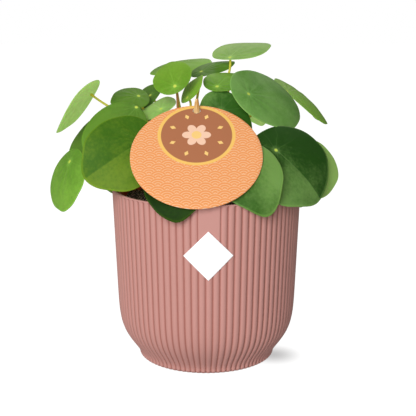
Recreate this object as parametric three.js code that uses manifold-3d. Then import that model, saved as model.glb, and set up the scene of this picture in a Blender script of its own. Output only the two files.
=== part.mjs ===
// A potted Chinese money plant: a fluted cover pot with a nursery pot, soil, a stem and round
// peltate leaves in it, a round card on a stick, and a blank label on the pot.
// Millimetres, +Z up, origin at the centre of the pot's underside, -Y is the front.

import * as THREE from 'three';
import { mergeVertices } from 'three/addons/utils/BufferGeometryUtils.js';
import Module from 'manifold-3d';

const wasm = await Module();
wasm.setup();

// Driving dimensions

const seatGap = 0.3;

const potHeight = 130;
const potTopRadius = 70.9;
const potTurn = 1.7;
const ribCount = 84;
const ribDepth = 1;
const grooveShare = 0.3;
const rimLip = 1.2;
const potWall = 2.4;
const potFloor = 3.5;
const panelRibs = 3;
const panelBottom = 93;

const nurseryBaseRadius = 45;
const nurseryTopRadius = 63.4;
const nurseryLipRadius = 66.4;
const nurseryLipHeight = 9;
const nurseryLipWall = 2;
const nurseryTop = 128;
const nurseryWall = 1;
const drainHoles = 6;
const drainRadius = 4;
const drainReach = 31.5;

const soilTop = 121.5;
const soilLumps = 1.2;

const stemPlace = new THREE.Vector2(-6, 8);
const stemRadius = 5.5;
const stemTop = 170;
const stemRoot = 112;
const stemScars = 7;
const stemScarDepth = 0.4;

const stickPlace = new THREE.Vector2(-7, -11);
const stickRadius = 2.4;
const stickTipRadius = 1.4;
const stickTop = 197.5;
const stickTaper = 9;
const stickRoot = 45;
const stickPoint = 6;

const cardRadius = 47;
const cardThickness = 0.8;
const cardLean = 42;
const cardHoleInset = 5.1;
const cardBelowTip = 9.2;

const labelHalfWidth = 17.5;
const labelHalfHeight = 17.8;
const labelThickness = 0.5;
const labelHeight = 93.9;
const labelTurn = 1.2;

const bladeThickness = 1;
const bladeEdge = 0.7;
const leafPointSpread = 0.35;
const petioleBaseRadius = 1.5;
const petioleTipRadius = 1;

// The crest line of the pot's wall, as radius and height, from the foot to the straight wall

const footLine = [
  [49.3, 0],
  [51.2, 1.4],
  [52, 4],
  [54, 8],
  [60.4, 17],
  [64.7, 26],
  [66.9, 38],
];

// Every leaf, in a row of its own: the dot, where the petiole meets the blade; the azimuth and the
// elevation of the upper side's normal, and the tip's direction round it, 0 downhill; the blade's
// length and width; and the height on the stem where the petiole starts. A last entry holds what
// differs from the usual leaf: inset is the blade's middle beyond the dot, in lengths, dome how far
// the rim lies below the middle, droop how far the tip bends down, fold how far the two halves rise
// from the midrib, point how far the tip is drawn out, heading and climb the azimuth and slope that
// the petiole starts with, and push and pull how long it keeps to them. Without a heading it starts
// straight towards the dot.

const usual = {
  inset: 0.22, dome: 0.1, droop: 0.04, fold: 0, point: 0.035, climb: 50, push: 0.45, pull: 0.3,
};
const leafRows = [
  // The top of the crown
  [[18, 29, 225], [-122, 73, 183], [46, 46], 163,
    { inset: 0.42, point: 0.01, heading: 62, climb: 72 }],
  [[-28, 71, 217], [-148, 74, 112], [54, 44], 159, { inset: 0.15, heading: 135, climb: 60 }],
  [[-23, -6, 206], [-113, 41, -149], [31, 30], 161, { inset: 0.32, heading: 195, climb: 50 }],
  [[-4, 33, 214], [-126, 71, 160], [38, 27], 163,
    { inset: 0.28, heading: 105, climb: 75, push: 0.7, pull: 0.15 }],
  [[-14, 2, 197], [-156, 37, -153], [26, 24], 164, { inset: 0.34, heading: 165, climb: 60 }],
  [[8, 3, 205], [-97, 66, 158], [32, 31], 164, { inset: 0.34, heading: 20, climb: 70 }],
  [[19, 54, 208], [-95, 78, 90], [34, 32], 157, { heading: 68, climb: 55 }],
  // The right side
  [[31, -3, 200], [-42, 44, 76], [67, 57], 156, { inset: 0.29, heading: -4, pull: 0.25 }],
  [[11, -7, 188], [-86, 27, 20], [52, 37], 155, { inset: 0.16, heading: -25, climb: 60 }],
  [[63, 43, 198], [-9, 51, 56], [54, 57], 160,
    { inset: 0.46, dome: 0.16, droop: 0.08, heading: 16, climb: 35, pull: 0.12 }],
  [[30, 41, 184], [50, 62, 0], [32, 30], 152, { heading: 42 }],
  [[50, -29, 162], [-62, 38, 34], [63, 73], 142, { climb: 35 }],
  [[79, -6, 156], [-56, 28, -1], [44, 42], 139, { climb: 30 }],
  [[24, -45, 156], [-91, 49, 27], [65, 49], 136, { inset: 0.12, dome: 0.05, droop: 0.14 }],
  // The left side
  [[-87, 10, 199], [166, 37, 61], [50, 49], 151, { inset: 0.36, point: 0, heading: 160, climb: 38 }],
  [[-52, 25, 196], [-79, 57, -76], [29, 27], 156, { heading: 166 }],
  [[-44, 41, 195], [-145, 47, -63], [32, 32], 153, { heading: 142 }],
  [[-52, 1, 190], [-96, 34, -33], [55, 45], 148, { inset: 0.48, heading: 203, climb: 35, pull: 0.12 }],
  [[-75, 7, 172], [-122, 30, -33], [57, 44], 145, { inset: 0.23, heading: 180, climb: 25 }],
  [[-34, 7, 188], [-140, 60, -106], [32, 29], 154, { inset: 0.24, heading: 185 }],
  [[-47, -26, 168], [-78, 23, -59], [61, 54], 144, { inset: 0.26, fold: 0.06, heading: 215 }],
  [[-100, -18, 152], [-144, 21, 6], [47, 45], 139, { inset: 0.28, point: 0, heading: 204, climb: 14 }],
  [[-20, -52, 147], [-90, 56, -3], [47, 46], 133,
    { inset: 0.2, dome: 0.05, droop: 0.16, heading: 246 }],
  // The back, out of sight from the front
  [[66, 45, 161], [42, 48, 0], [56, 52], 146, { heading: 46, climb: 50 }],
  [[4, 60, 177], [88, 46, 10], [52, 48], 151, { climb: 40 }],
  [[-42, 50, 172], [130, 50, -10], [54, 50], 148],
  [[61, 28, 144], [22, 30, 10], [54, 46], 137, { climb: 30 }],
  [[31, 65, 142], [60, 28, 0], [52, 48], 135, { climb: 30 }],
  [[-17, 70, 146], [98, 32, -8], [54, 50], 134, { climb: 30 }],
  [[-61, 44, 152], [145, 32, 0], [54, 50], 138, { climb: 30 }],
];
const leaves = leafRows.map(([dot, [facing, lift, turn], [length, width], node, own]) => ({
  ...usual, dot, facing, lift, turn, length, width, node, ...own,
}));

// How finely the pieces are cut: sides round an axis, points round a blade, rings from its dot to
// its rim, and steps along a petiole and across the label

const cavitySides = 42;
const nurserySides = 40;
const soilSides = 36;
const cardSides = 60;
const stemSides = 12;
const stickSides = 10;
const holeSides = 12;
const labelSteps = 10;
const leafRim = 16;
const leafRings = [0.36, 0.72, 1];
const petioleSides = 5;
const petioleSteps = 7;

// Helpers

const radians = (degrees) => (degrees * Math.PI) / 180;

function toSolid(geometry) {
  const bare = geometry.clone();
  bare.deleteAttribute('normal');
  bare.deleteAttribute('uv');
  const merged = mergeVertices(bare, 1e-4);
  return new wasm.Manifold(new wasm.Mesh({
    numProp: 3,
    vertProperties: Float32Array.from(merged.attributes.position.array),
    triVerts: Uint32Array.from(merged.index.array),
  }));
}

function fromSolid(solid) {
  const mesh = solid.getMesh();
  const geometry = new THREE.BufferGeometry();
  geometry.setAttribute('position', new THREE.BufferAttribute(mesh.vertProperties, 3));
  geometry.setIndex(new THREE.BufferAttribute(mesh.triVerts, 1));
  geometry.computeVertexNormals();
  return geometry;
}

function lathe(points, segments) {
  const profile = points.map(([radius, height]) => new THREE.Vector2(radius, height));
  return new THREE.LatheGeometry(profile, segments).rotateX(Math.PI / 2);
}

// A closed skin over rings of points, each ring with as many points as the next, listed from the
// bottom up and anticlockwise seen from above, with a point closing each end.

function skin(rings, bottomPoint, topPoint) {
  const positions = [bottomPoint, ...rings.flat(), topPoint].flatMap((point) => point.toArray());
  const count = rings[0].length;
  const top = rings.length * count + 1;
  const index = [];
  for (let i = 0; i < count; i += 1) {
    const next = (i + 1) % count;
    index.push(0, 1 + next, 1 + i);
    for (let level = 0; level < rings.length - 1; level += 1) {
      const low = 1 + level * count;
      const high = low + count;
      index.push(low + i, low + next, high + next);
      index.push(low + i, high + next, high + i);
    }
    const last = 1 + (rings.length - 1) * count;
    index.push(last + i, last + next, top);
  }
  const geometry = new THREE.BufferGeometry();
  geometry.setAttribute('position', new THREE.Float32BufferAttribute(positions, 3));
  geometry.setIndex(index);
  geometry.computeVertexNormals();
  return geometry;
}

// The cover pot

function crestRadius(height) {
  const line = [...footLine, [potTopRadius, potHeight]];
  const upper = Math.max(1, line.findIndex(([, z]) => z >= height));
  const [r0, z0] = line[upper - 1];
  const [r1, z1] = line[upper];
  return r0 + ((r1 - r0) * (height - z0)) / (z1 - z0);
}

// One level of the fluted wall: each rib starts at a groove and has a flat crest, and the ribs of
// the flat panel, which are counted first, lie on its chord

function potRing(height, depth, panel) {
  const crest = crestRadius(height);
  const pitch = (2 * Math.PI) / ribCount;
  const panelHalf = (panelRibs * pitch) / 2;
  const front = radians(potTurn - 90);
  const points = [];
  for (let rib = 0; rib < ribCount; rib += 1) {
    for (const [share, drop] of [[0, 1], [grooveShare, 0], [1 - grooveShare, 0]]) {
      const fromFront = (rib + share) * pitch - panelHalf;
      const onPanel = panel && rib < panelRibs && rib + share > 0;
      const chord = (crest * Math.cos(panelHalf)) / Math.cos(fromFront);
      const radius = onPanel ? chord : crest - drop * depth;
      const angle = front + fromFront;
      points.push(new THREE.Vector3(radius * Math.cos(angle), radius * Math.sin(angle), height));
    }
  }
  return points;
}

function coverPot() {
  const rings = footLine.map(([, height]) => potRing(height, ribDepth, false));
  rings.push(potRing(panelBottom - 1, ribDepth, false));
  rings.push(potRing(panelBottom, ribDepth, true));
  rings.push(potRing(potHeight - rimLip, ribDepth, true));
  rings.push(potRing(potHeight, 0, false));
  const body = toSolid(skin(rings, new THREE.Vector3(), new THREE.Vector3(0, 0, potHeight)));
  const inner = footLine.filter(([, z]) => z > potFloor).map(([r, z]) => [r - potWall, z]);
  const cavity = lathe([
    [0, potFloor],
    [footLine[1][0] - potWall, potFloor],
    ...inner,
    [potTopRadius - potWall, potHeight],
    [potTopRadius - potWall, potHeight + 1],
    [0, potHeight + 1],
  ], cavitySides);
  return fromSolid(body.subtract(toSolid(cavity)));
}

// The nursery pot, with drain holes in its floor

function nurseryPot() {
  const base = potFloor + seatGap;
  const shoulder = nurseryTop - nurseryLipHeight;
  const wall = lathe([
    [0, base],
    [nurseryBaseRadius, base],
    [nurseryTopRadius, shoulder],
    [nurseryLipRadius - nurseryWall, shoulder + nurseryWall],
    [nurseryLipRadius, nurseryTop],
    [nurseryLipRadius - nurseryLipWall, nurseryTop],
    [nurseryLipRadius - nurseryLipWall - 0.4, shoulder + nurseryLipWall],
    [nurseryTopRadius - nurseryWall, shoulder + nurseryWall],
    [nurseryBaseRadius - nurseryWall, base + nurseryWall],
    [0, base + nurseryWall],
  ], nurserySides);
  let solid = toSolid(wall);
  for (let i = 0; i < drainHoles; i += 1) {
    const angle = (2 * Math.PI * (i + 0.5)) / drainHoles;
    const drill = new THREE.CylinderGeometry(drainRadius, drainRadius, 4 * nurseryWall, holeSides)
      .rotateX(Math.PI / 2)
      .translate(drainReach * Math.cos(angle), drainReach * Math.sin(angle), base);
    solid = solid.subtract(toSolid(drill));
  }
  return fromSolid(solid);
}

// The soil, lumpy on top, with a plain hole for the stem and one for the stick

function soil() {
  const floor = potFloor + seatGap + nurseryWall + seatGap;
  const baseRadius = nurseryBaseRadius - nurseryWall - 2 * seatGap;
  const shoulder = nurseryTop - nurseryLipHeight + nurseryWall;
  const wallRadius = nurseryTopRadius - nurseryWall - 2 * seatGap;
  const ring = (radius, height, lumps) => Array.from({ length: soilSides }, (_, i) => {
    const angle = (2 * Math.PI * i) / soilSides;
    const lump = Math.sin(5 * angle + radius) + Math.sin(3 * angle - 2 * radius);
    const z = height + (lumps * lump) / 2;
    return new THREE.Vector3(radius * Math.cos(angle), radius * Math.sin(angle), z);
  });
  const crown = soilTop + 1;
  const rings = [
    ring(baseRadius, floor, 0),
    ring(wallRadius, shoulder, 0),
    ring(wallRadius, soilTop, soilLumps / 2),
    ring(wallRadius * 0.8, soilTop, soilLumps),
    ring(wallRadius * 0.55, (soilTop + crown) / 2, soilLumps),
    ring(wallRadius * 0.3, crown, soilLumps),
  ];
  const bottom = new THREE.Vector3(0, 0, floor);
  const top = new THREE.Vector3(0, 0, crown);
  const hole = (place, radius, root) => {
    const height = potHeight - root;
    return toSolid(new THREE.CylinderGeometry(radius, radius, height, holeSides)
      .rotateX(Math.PI / 2)
      .translate(place.x, place.y, root + height / 2));
  };
  return fromSolid(toSolid(skin(rings, bottom, top))
    .subtract(hole(stemPlace, stemRadius + 2 * seatGap, stemRoot - seatGap))
    .subtract(hole(stickPlace, stickRadius + seatGap, stickRoot - seatGap)));
}

// The stem, ringed by old leaf scars, with a rounded growing tip

function stem() {
  const points = [[0, stemRoot], [stemRadius, stemRoot]];
  const bare = stemTop - stemRadius - soilTop;
  for (let i = 0; i <= stemScars; i += 1) {
    const height = soilTop + (bare * i) / stemScars;
    points.push([stemRadius - (i % 2) * stemScarDepth, height]);
  }
  points.push([stemRadius * 0.8, stemTop - stemRadius * 0.45]);
  points.push([stemRadius * 0.4, stemTop - stemRadius * 0.1]);
  points.push([0, stemTop]);
  return lathe(points, stemSides).translate(stemPlace.x, stemPlace.y, 0);
}

// The round card and the stick through it

function stick() {
  return lathe([
    [0, stickRoot],
    [stickRadius / 3, stickRoot],
    [stickRadius, stickRoot + stickPoint],
    [stickRadius, stickTop - stickTaper],
    [stickTipRadius, stickTop - stickTipRadius],
    [stickTipRadius / 2, stickTop],
    [0, stickTop],
  ], stickSides).translate(stickPlace.x, stickPlace.y, 0);
}

function card() {
  const lean = radians(cardLean);
  const holeReach = cardRadius - cardHoleInset;
  const holeHeight = stickTop - cardBelowTip;
  const disc = new THREE.CylinderGeometry(cardRadius, cardRadius, cardThickness, cardSides)
    .rotateX(Math.PI / 2)
    .translate(0, -holeReach, 0)
    .rotateX(lean)
    .translate(stickPlace.x, stickPlace.y, holeHeight);
  const holeRadius = stickRadius + seatGap;
  const drill = new THREE.CylinderGeometry(holeRadius, holeRadius, 4 * holeRadius, holeSides)
    .rotateX(Math.PI / 2)
    .translate(stickPlace.x, stickPlace.y, holeHeight);
  return fromSolid(toSolid(disc).subtract(toSolid(drill)));
}

// The blank diamond label, wrapped round the wall

function label() {
  const turn = radians(labelTurn - 90);
  const edge = (layer, share, upper) => {
    const side = upper ? 1 : -1;
    const across = labelHalfWidth * (2 * share - 1);
    const rise = side * labelHalfHeight * (1 - Math.abs(2 * share - 1));
    const height = labelHeight + rise;
    const radius = crestRadius(height) + seatGap + layer * labelThickness;
    const angle = turn + across / crestRadius(labelHeight);
    return new THREE.Vector3(radius * Math.cos(angle), radius * Math.sin(angle), height);
  };
  const outline = (layer) => {
    const points = [];
    for (let i = 0; i < labelSteps; i += 1) points.push(edge(layer, i / labelSteps, false));
    for (let i = 0; i < labelSteps; i += 1) points.push(edge(layer, 1 - i / labelSteps, true));
    return points;
  };
  const count = 2 * labelSteps;
  const points = [...outline(0), ...outline(1)];
  const index = [];
  const strip = (a, b, c) => {
    index.push(count + a, count + b, count + c);
    index.push(a, c, b);
  };
  for (let i = 1; i < labelSteps; i += 1) {
    const below = i;
    const above = count - i;
    const previousAbove = (count - i + 1) % count;
    strip(i - 1, below, above);
    if (i > 1) strip(i - 1, above, previousAbove);
  }
  strip(labelSteps - 1, labelSteps, labelSteps + 1);
  for (let i = 0; i < count; i += 1) {
    const next = (i + 1) % count;
    index.push(i, next, count + next);
    index.push(i, count + next, count + i);
  }
  const geometry = new THREE.BufferGeometry();
  const positions = points.flatMap((point) => point.toArray());
  geometry.setAttribute('position', new THREE.Float32BufferAttribute(positions, 3));
  geometry.setIndex(index);
  geometry.computeVertexNormals();
  return geometry;
}

// A leaf: its axes, its domed blade and its petiole

function leafAxes({ facing, lift, turn }) {
  const azimuth = radians(facing);
  const rise = radians(lift);
  const swing = radians(turn);
  const normal = new THREE.Vector3(
    Math.cos(azimuth) * Math.cos(rise),
    Math.sin(azimuth) * Math.cos(rise),
    Math.sin(rise),
  );
  const downhill = new THREE.Vector3(
    Math.cos(azimuth) * Math.sin(rise),
    Math.sin(azimuth) * Math.sin(rise),
    -Math.cos(rise),
  );
  const sideways = new THREE.Vector3().crossVectors(normal, downhill);
  const tip = downhill.multiplyScalar(Math.cos(swing)).addScaledVector(sideways, Math.sin(swing));
  const across = new THREE.Vector3().crossVectors(normal, tip);
  return { normal, tip, across };
}

function bladeHeight(leaf, along, aside) {
  const { length, width, inset, dome, droop, fold } = leaf;
  const middle = length * inset;
  const u = (along - middle) / (length / 2);
  const v = aside / (width / 2);
  const round = (u * u + v * v) * dome * width * 0.5;
  const bend = Math.max(0, u) ** 3 * droop * length;
  const crease = Math.abs(v) * fold * width * 0.5;
  return -round - bend + crease;
}

function blade(leaf) {
  const { dot, length, width, inset, point } = leaf;
  const { normal, tip, across } = leafAxes(leaf);
  const origin = new THREE.Vector3(...dot);
  const flatness = bladeHeight(leaf, 0, 0);
  const rim = (angle) => {
    const drawnOut = point * Math.exp(-((angle / leafPointSpread) ** 2));
    return [
      length * (inset + Math.cos(angle) / 2 + drawnOut),
      (width / 2) * Math.sin(angle),
    ];
  };
  const place = (share, angle, side) => {
    const [rimAlong, rimAside] = rim(angle);
    const along = rimAlong * share;
    const aside = rimAside * share;
    const thickness = bladeThickness + (bladeEdge - bladeThickness) * share;
    const height = bladeHeight(leaf, along, aside) - flatness + (side * thickness) / 2;
    return origin.clone()
      .addScaledVector(tip, along)
      .addScaledVector(across, aside)
      .addScaledVector(normal, height);
  };
  const ring = (share, side) => Array.from({ length: leafRim }, (_, i) => {
    const turn = (2 * Math.PI * i) / leafRim;
    const angle = turn > Math.PI ? turn - 2 * Math.PI : turn;
    return place(share, angle, side);
  });
  const rings = [
    ...leafRings.map((share) => ring(share, -1)),
    ...[...leafRings].reverse().map((share) => ring(share, 1)),
  ];
  return skin(rings, place(0, 0, -1), place(0, 0, 1));
}

function petiole(leaf) {
  const { normal } = leafAxes(leaf);
  const end = new THREE.Vector3(...leaf.dot);
  const reach = new THREE.Vector2(end.x - stemPlace.x, end.y - stemPlace.y);
  const heading = leaf.heading === undefined ? reach.angle() : radians(leaf.heading);
  const climb = radians(leaf.climb);
  const away = stemRadius + seatGap + petioleBaseRadius * Math.sin(climb);
  const outward = new THREE.Vector3(Math.cos(heading), Math.sin(heading), 0);
  const start = new THREE.Vector3(stemPlace.x, stemPlace.y, leaf.node)
    .addScaledVector(outward, away);
  const span = start.distanceTo(end);
  const launch = outward.clone().multiplyScalar(Math.cos(climb));
  launch.z = Math.sin(climb);
  const path = new THREE.CubicBezierCurve3(
    start,
    start.clone().addScaledVector(launch, span * leaf.push),
    end.clone().addScaledVector(normal, -span * leaf.pull),
    end,
  );
  const points = path.getPoints(petioleSteps);
  let side = new THREE.Vector3(-outward.y, outward.x, 0);
  const rings = points.map((point, step) => {
    const share = step / petioleSteps;
    const ahead = path.getTangent(share);
    side.addScaledVector(ahead, -side.dot(ahead)).normalize();
    side = side.clone();
    const other = new THREE.Vector3().crossVectors(ahead, side);
    const radius = petioleBaseRadius + (petioleTipRadius - petioleBaseRadius) * share;
    return Array.from({ length: petioleSides }, (_, i) => {
      const angle = (2 * Math.PI * i) / petioleSides;
      return point.clone()
        .addScaledVector(side, radius * Math.cos(angle))
        .addScaledVector(other, radius * Math.sin(angle));
    });
  });
  return skin(rings, start, end);
}

function leafShape(leaf) {
  return fromSolid(toSolid(blade(leaf)).add(toSolid(petiole(leaf))));
}

// Materials and the finished group

const material = (color, roughness) => new THREE.MeshStandardMaterial({ color, roughness });
const pink = material('#c8968c', 0.5);
const darkRed = material('#5a2e28', 0.6);
const earth = material('#1f1713', 0.95);
const bark = material('#7c7442', 0.7);
const green = material('#4f8a35', 0.4);
const orange = material('#f0a45c', 0.6);
const bamboo = material('#cfa76a', 0.6);
const white = material('#f4f4f2', 0.5);

const plant = new THREE.Group();

function place(name, geometry, finish) {
  const mesh = new THREE.Mesh(geometry, finish);
  mesh.name = name;
  plant.add(mesh);
}

place('cover_pot', coverPot(), pink);
place('nursery_pot', nurseryPot(), darkRed);
place('soil', soil(), earth);
place('stem', stem(), bark);
place('tag_card', card(), orange);
place('tag_stick', stick(), bamboo);
place('pot_label', label(), white);
leaves.forEach((leaf, i) => {
  place(`leaf_${String(i + 1).padStart(2, '0')}`, leafShape(leaf), green);
});

export default plant;
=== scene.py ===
# %% [markdown]
# A potted Chinese money plant, dressed for its portrait. The construction comes from the packed
# model: a fluted cover pot with a nursery pot, soil, a short stem, round leaves on long petioles,
# a round card on a stick and a blank label. This notebook gives each of them its fine surface and
# its finish, and each stays where the model says. The sizes of the pieces and the camera's place
# are written in millimetres, and MM turns them into Blender's metres. The room's are in metres.

import math
import random

import bmesh
import bpy
import numpy as np
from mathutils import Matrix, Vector, noise


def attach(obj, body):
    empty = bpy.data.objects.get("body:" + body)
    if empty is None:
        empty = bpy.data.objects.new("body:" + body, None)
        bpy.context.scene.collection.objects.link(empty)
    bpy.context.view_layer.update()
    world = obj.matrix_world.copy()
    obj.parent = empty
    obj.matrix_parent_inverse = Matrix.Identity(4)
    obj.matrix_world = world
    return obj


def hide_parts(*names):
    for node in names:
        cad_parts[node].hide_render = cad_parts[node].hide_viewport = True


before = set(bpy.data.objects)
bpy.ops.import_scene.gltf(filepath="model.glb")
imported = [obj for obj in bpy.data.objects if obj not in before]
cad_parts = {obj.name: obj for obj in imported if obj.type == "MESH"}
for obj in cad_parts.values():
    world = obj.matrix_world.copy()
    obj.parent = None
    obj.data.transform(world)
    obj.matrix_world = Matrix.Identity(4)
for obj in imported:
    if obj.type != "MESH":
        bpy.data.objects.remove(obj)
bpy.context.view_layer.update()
MM = 0.001

# %% [markdown]
# The camera comes first, because everything else is judged through it. The photograph looks down
# on the pot by about twelve degrees from nearly three quarters of a metre. The lens is long, so
# the pot's sides stay nearly parallel, and its length follows from the pot's width in the frame.

# %% Camera
CAMERA_PLACE = (1.2, -723, 264)
CAMERA_PITCH = 11.75
LENS = 84.2
SENSOR = 36.0

camera_data = bpy.data.cameras.new("camera")
camera_data.lens = LENS
camera_data.sensor_width = SENSOR
camera_data.clip_start = 0.01
camera = bpy.data.objects.new("camera", camera_data)
camera.location = Vector(CAMERA_PLACE) * MM
camera.rotation_euler = (math.radians(90 - CAMERA_PITCH), 0, 0)
bpy.context.scene.collection.objects.link(camera)
bpy.context.scene.camera = camera
print("camera at", tuple(camera.location))

# %% [markdown]
# A finish is a tree of shader nodes, and a long list of node calls is hard to read. Written as plain
# sums it stays readable, so a small class stands for one output socket: adding or multiplying two
# of them adds a Math node and gives back its output.


# %% Sockets as numbers
class Wire:
    def __init__(self, tree, socket):
        self.tree = tree
        self.socket = socket

    def maths(self, operation, *others, swap=False):
        values = [self, *others]
        if swap:
            values.reverse()
        return self.tree.node("ShaderNodeMath", {"operation": operation}, dict(enumerate(values)))

    def __add__(self, other):
        return self.maths("ADD", other)

    def __sub__(self, other):
        return self.maths("SUBTRACT", other)

    def __rsub__(self, other):
        return self.maths("SUBTRACT", other, swap=True)

    def __mul__(self, other):
        return self.maths("MULTIPLY", other)

    def __truediv__(self, other):
        return self.maths("DIVIDE", other)

    def __pow__(self, other):
        return self.maths("POWER", other)

    def __mod__(self, other):
        return self.maths("FLOORED_MODULO", other)

    def __abs__(self):
        return self.maths("ABSOLUTE")

    def __lt__(self, other):
        return self.maths("LESS_THAN", other)

    def __gt__(self, other):
        return self.maths("GREATER_THAN", other)

    __radd__ = __add__
    __rmul__ = __mul__


# %% [markdown]
# The second class holds the node tree of a material or of the world. Its method node makes any
# node: the settings are set first, and then the sockets get a value or a wire each. The methods
# below it are short names for the nodes that many finishes share.


# %% Node trees
class Tree:
    def __init__(self, node_tree):
        self.node_tree = node_tree

    def node(self, kind, settings=None, inputs=None, output=0):
        made = self.node_tree.nodes.new(kind)
        for name, value in (settings or {}).items():
            setattr(made, name, value)
        for name, value in (inputs or {}).items():
            self.join(made.inputs[name], value)
        return Wire(self, made.outputs[output])

    def join(self, socket, value):
        if isinstance(value, Wire):
            self.node_tree.links.new(value.socket, socket)
        elif isinstance(value, tuple) and len(value) == 3 and len(socket.default_value) == 4:
            socket.default_value = (*value, 1)
        else:
            socket.default_value = value

    def place(self):
        """Where a point lies on the object, in metres."""
        return self.node("ShaderNodeTexCoord", output="Object")

    def coordinates(self, name):
        """One of the sets of coordinates that a piece carries."""
        return self.node("ShaderNodeUVMap", {"uv_map": name})

    def split(self, vector):
        """The first and the second number of a vector."""
        first = self.node("ShaderNodeSeparateXYZ", {}, {0: vector})
        return first, Wire(self, first.socket.node.outputs[1])

    def mix(self, factor, first, second):
        inputs = {0: factor, 6: first, 7: second}
        return self.node("ShaderNodeMix", {"data_type": "RGBA"}, inputs, output=2)

    def rise(self, value, low, high):
        """0 below low, 1 above high, smooth between them; with low above high it falls instead."""
        backwards = low > high
        inputs = {0: value, 1: min(low, high), 2: max(low, high), 3: int(backwards), 4: int(not backwards)}
        return self.node("ShaderNodeMapRange", {"interpolation_type": "SMOOTHSTEP"}, inputs)

    def noise(self, place, scale, detail=3.0, roughness=0.5):
        inputs = {"Vector": place, "Scale": scale, "Detail": detail, "Roughness": roughness}
        return self.node("ShaderNodeTexNoise", {}, inputs)

    def stretched(self, place, scale):
        inputs = {"Vector": place, "Scale": scale}
        return self.node("ShaderNodeMapping", {}, inputs)

    def bump(self, height, distance, strength=1.0):
        inputs = {"Height": height, "Distance": distance * MM, "Strength": strength}
        return self.node("ShaderNodeBump", {}, inputs)


# %% [markdown]
# A material is then a name, a function that works out the sockets which vary over the surface, and
# constants for the sockets that stay the same all over it.


# %% Finishes
def finish(name, build, **constants):
    """A material whose sockets build(tree) works out, with constants on the sockets that stay flat."""
    material = bpy.data.materials.new(name)
    material.use_nodes = True
    tree = Tree(material.node_tree)
    shader = material.node_tree.nodes["Principled BSDF"]
    flat = {key.replace("_", " "): value for key, value in constants.items()}
    for key, value in {**flat, **build(tree)}.items():
        tree.join(shader.inputs[key], value)
    return material


# %% [markdown]
# The plant stands in a white room with soft light, and the world plays that room. The camera sees
# it as plain white, but as a light it is far weaker, a little warm, and stronger from the left. At
# full strength it would light the pot equally from all sides, and the ribs would hardly show.

# %% World
WHITE = (1.0, 1.0, 1.0)
LEFT_FILL = 0.34
RIGHT_FILL = 0.16
FILL_COLOUR = (1.0, 0.93, 0.88)

scene = bpy.context.scene
scene.view_settings.view_transform = "Standard"
scene.cycles.use_denoising = True
world = bpy.data.worlds.new("studio")
world.use_nodes = True
scene.world = world
sky = Tree(world.node_tree)
rightward, _ = sky.split(sky.node("ShaderNodeTexCoord", output="Generated"))
fill = sky.rise(rightward, -0.5, 0.9) * (RIGHT_FILL - LEFT_FILL) + LEFT_FILL
lit = sky.node("ShaderNodeBackground", {}, {"Color": FILL_COLOUR, "Strength": fill})
seen = sky.node("ShaderNodeBackground", {}, {"Color": WHITE, "Strength": 1.0})
camera_ray = sky.node("ShaderNodeLightPath", output="Is Camera Ray")
blend = sky.node("ShaderNodeMixShader", {}, {0: camera_ray, 1: lit, 2: seen})
sky.join(world.node_tree.nodes["World Output"].inputs["Surface"], blend)
print("world nodes", len(world.node_tree.nodes))

# %% [markdown]
# Two softboxes shape the plant. The key is large and cool and stands in front on the left, so that
# shadows are soft and the pot gets darker to the right. The sheen is weak and warm, above and
# behind, where the leaves that face up mirror it into the camera. A sun lamp would be simpler, but
# its shadows have hard edges.

# %% Softboxes
LIGHT_AIM = (0, 0, 0.12)


def softbox(name, place, size, power, colour):
    light = bpy.data.lights.new(name, "AREA")
    light.size = size
    light.energy = power
    light.color = colour
    box = bpy.data.objects.new(name, light)
    box.location = place
    box.rotation_euler = (Vector(LIGHT_AIM) - Vector(place)).to_track_quat("-Z", "Y").to_euler()
    scene.collection.objects.link(box)


softbox("key", (-0.42, -1.50, 0.72), size=1.0, power=27, colour=(0.93, 0.98, 1.0))
softbox("sheen", (0.2, 1.0, 1.1), size=1.0, power=5, colour=(1.0, 0.97, 0.90))
print("softboxes", [light.name for light in bpy.data.lights])

# %% [markdown]
# The floor is a square as white as the room, and it too is weaker as a light than it looks. A floor
# that glows shows no shadow. So the soft shadow to the right of the foot is a grey spot in its
# finish, which gives the same tone whatever the lights do.

# %% Floor
FLOOR_HALF = 6.0
FLOOR_COLOUR = (0.1, 0.1, 0.1)
FLOOR_BOUNCE = 0.28
SHADOW_PLACE = (0.052, -0.010)
SHADOW_REACH = 0.028
SHADOW_TONE = 0.5


def floor_finish(tree):
    x, y = tree.split(tree.place())
    aside = x - SHADOW_PLACE[0]
    behind = y - SHADOW_PLACE[1]
    away = (aside * aside + behind * behind) ** 0.5
    spotted = tree.mix(tree.rise(away, 0.0, SHADOW_REACH), (SHADOW_TONE,) * 3, WHITE)
    camera_ray = tree.node("ShaderNodeLightPath", output="Is Camera Ray")
    glow = tree.mix(camera_ray, (FLOOR_BOUNCE,) * 3, spotted)
    return {"Base Color": FLOOR_COLOUR, "Emission Color": glow}


floor_mesh = bpy.data.meshes.new("floor")
corners = [(x * FLOOR_HALF, y * FLOOR_HALF, 0) for x, y in ((-1, -1), (1, -1), (1, 1), (-1, 1))]
floor_mesh.from_pydata(corners, [], [(0, 1, 2, 3)])
floor = bpy.data.objects.new("floor", floor_mesh)
floor.data.materials.append(finish("white_floor", floor_finish, Roughness=0.9, Emission_Strength=1.0))
scene.collection.objects.link(floor)
print("floor corners", corners)

# %% [markdown]
# Most pieces are skins: rings of points, each joined to the next by a band of quads, with a point
# closing each end or the last ring joined to the first. Skin lists the points and faces of such a
# shape, and level_ring makes a level ring for it. Piece turns millimetres into metres, makes the
# mesh, gives it the finishes and coordinates that it gets, and lets it ride on the model. A cylinder
# would be quicker for a pot, but a fluted wall or a leaf has no ready shape, and rings serve all.


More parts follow.
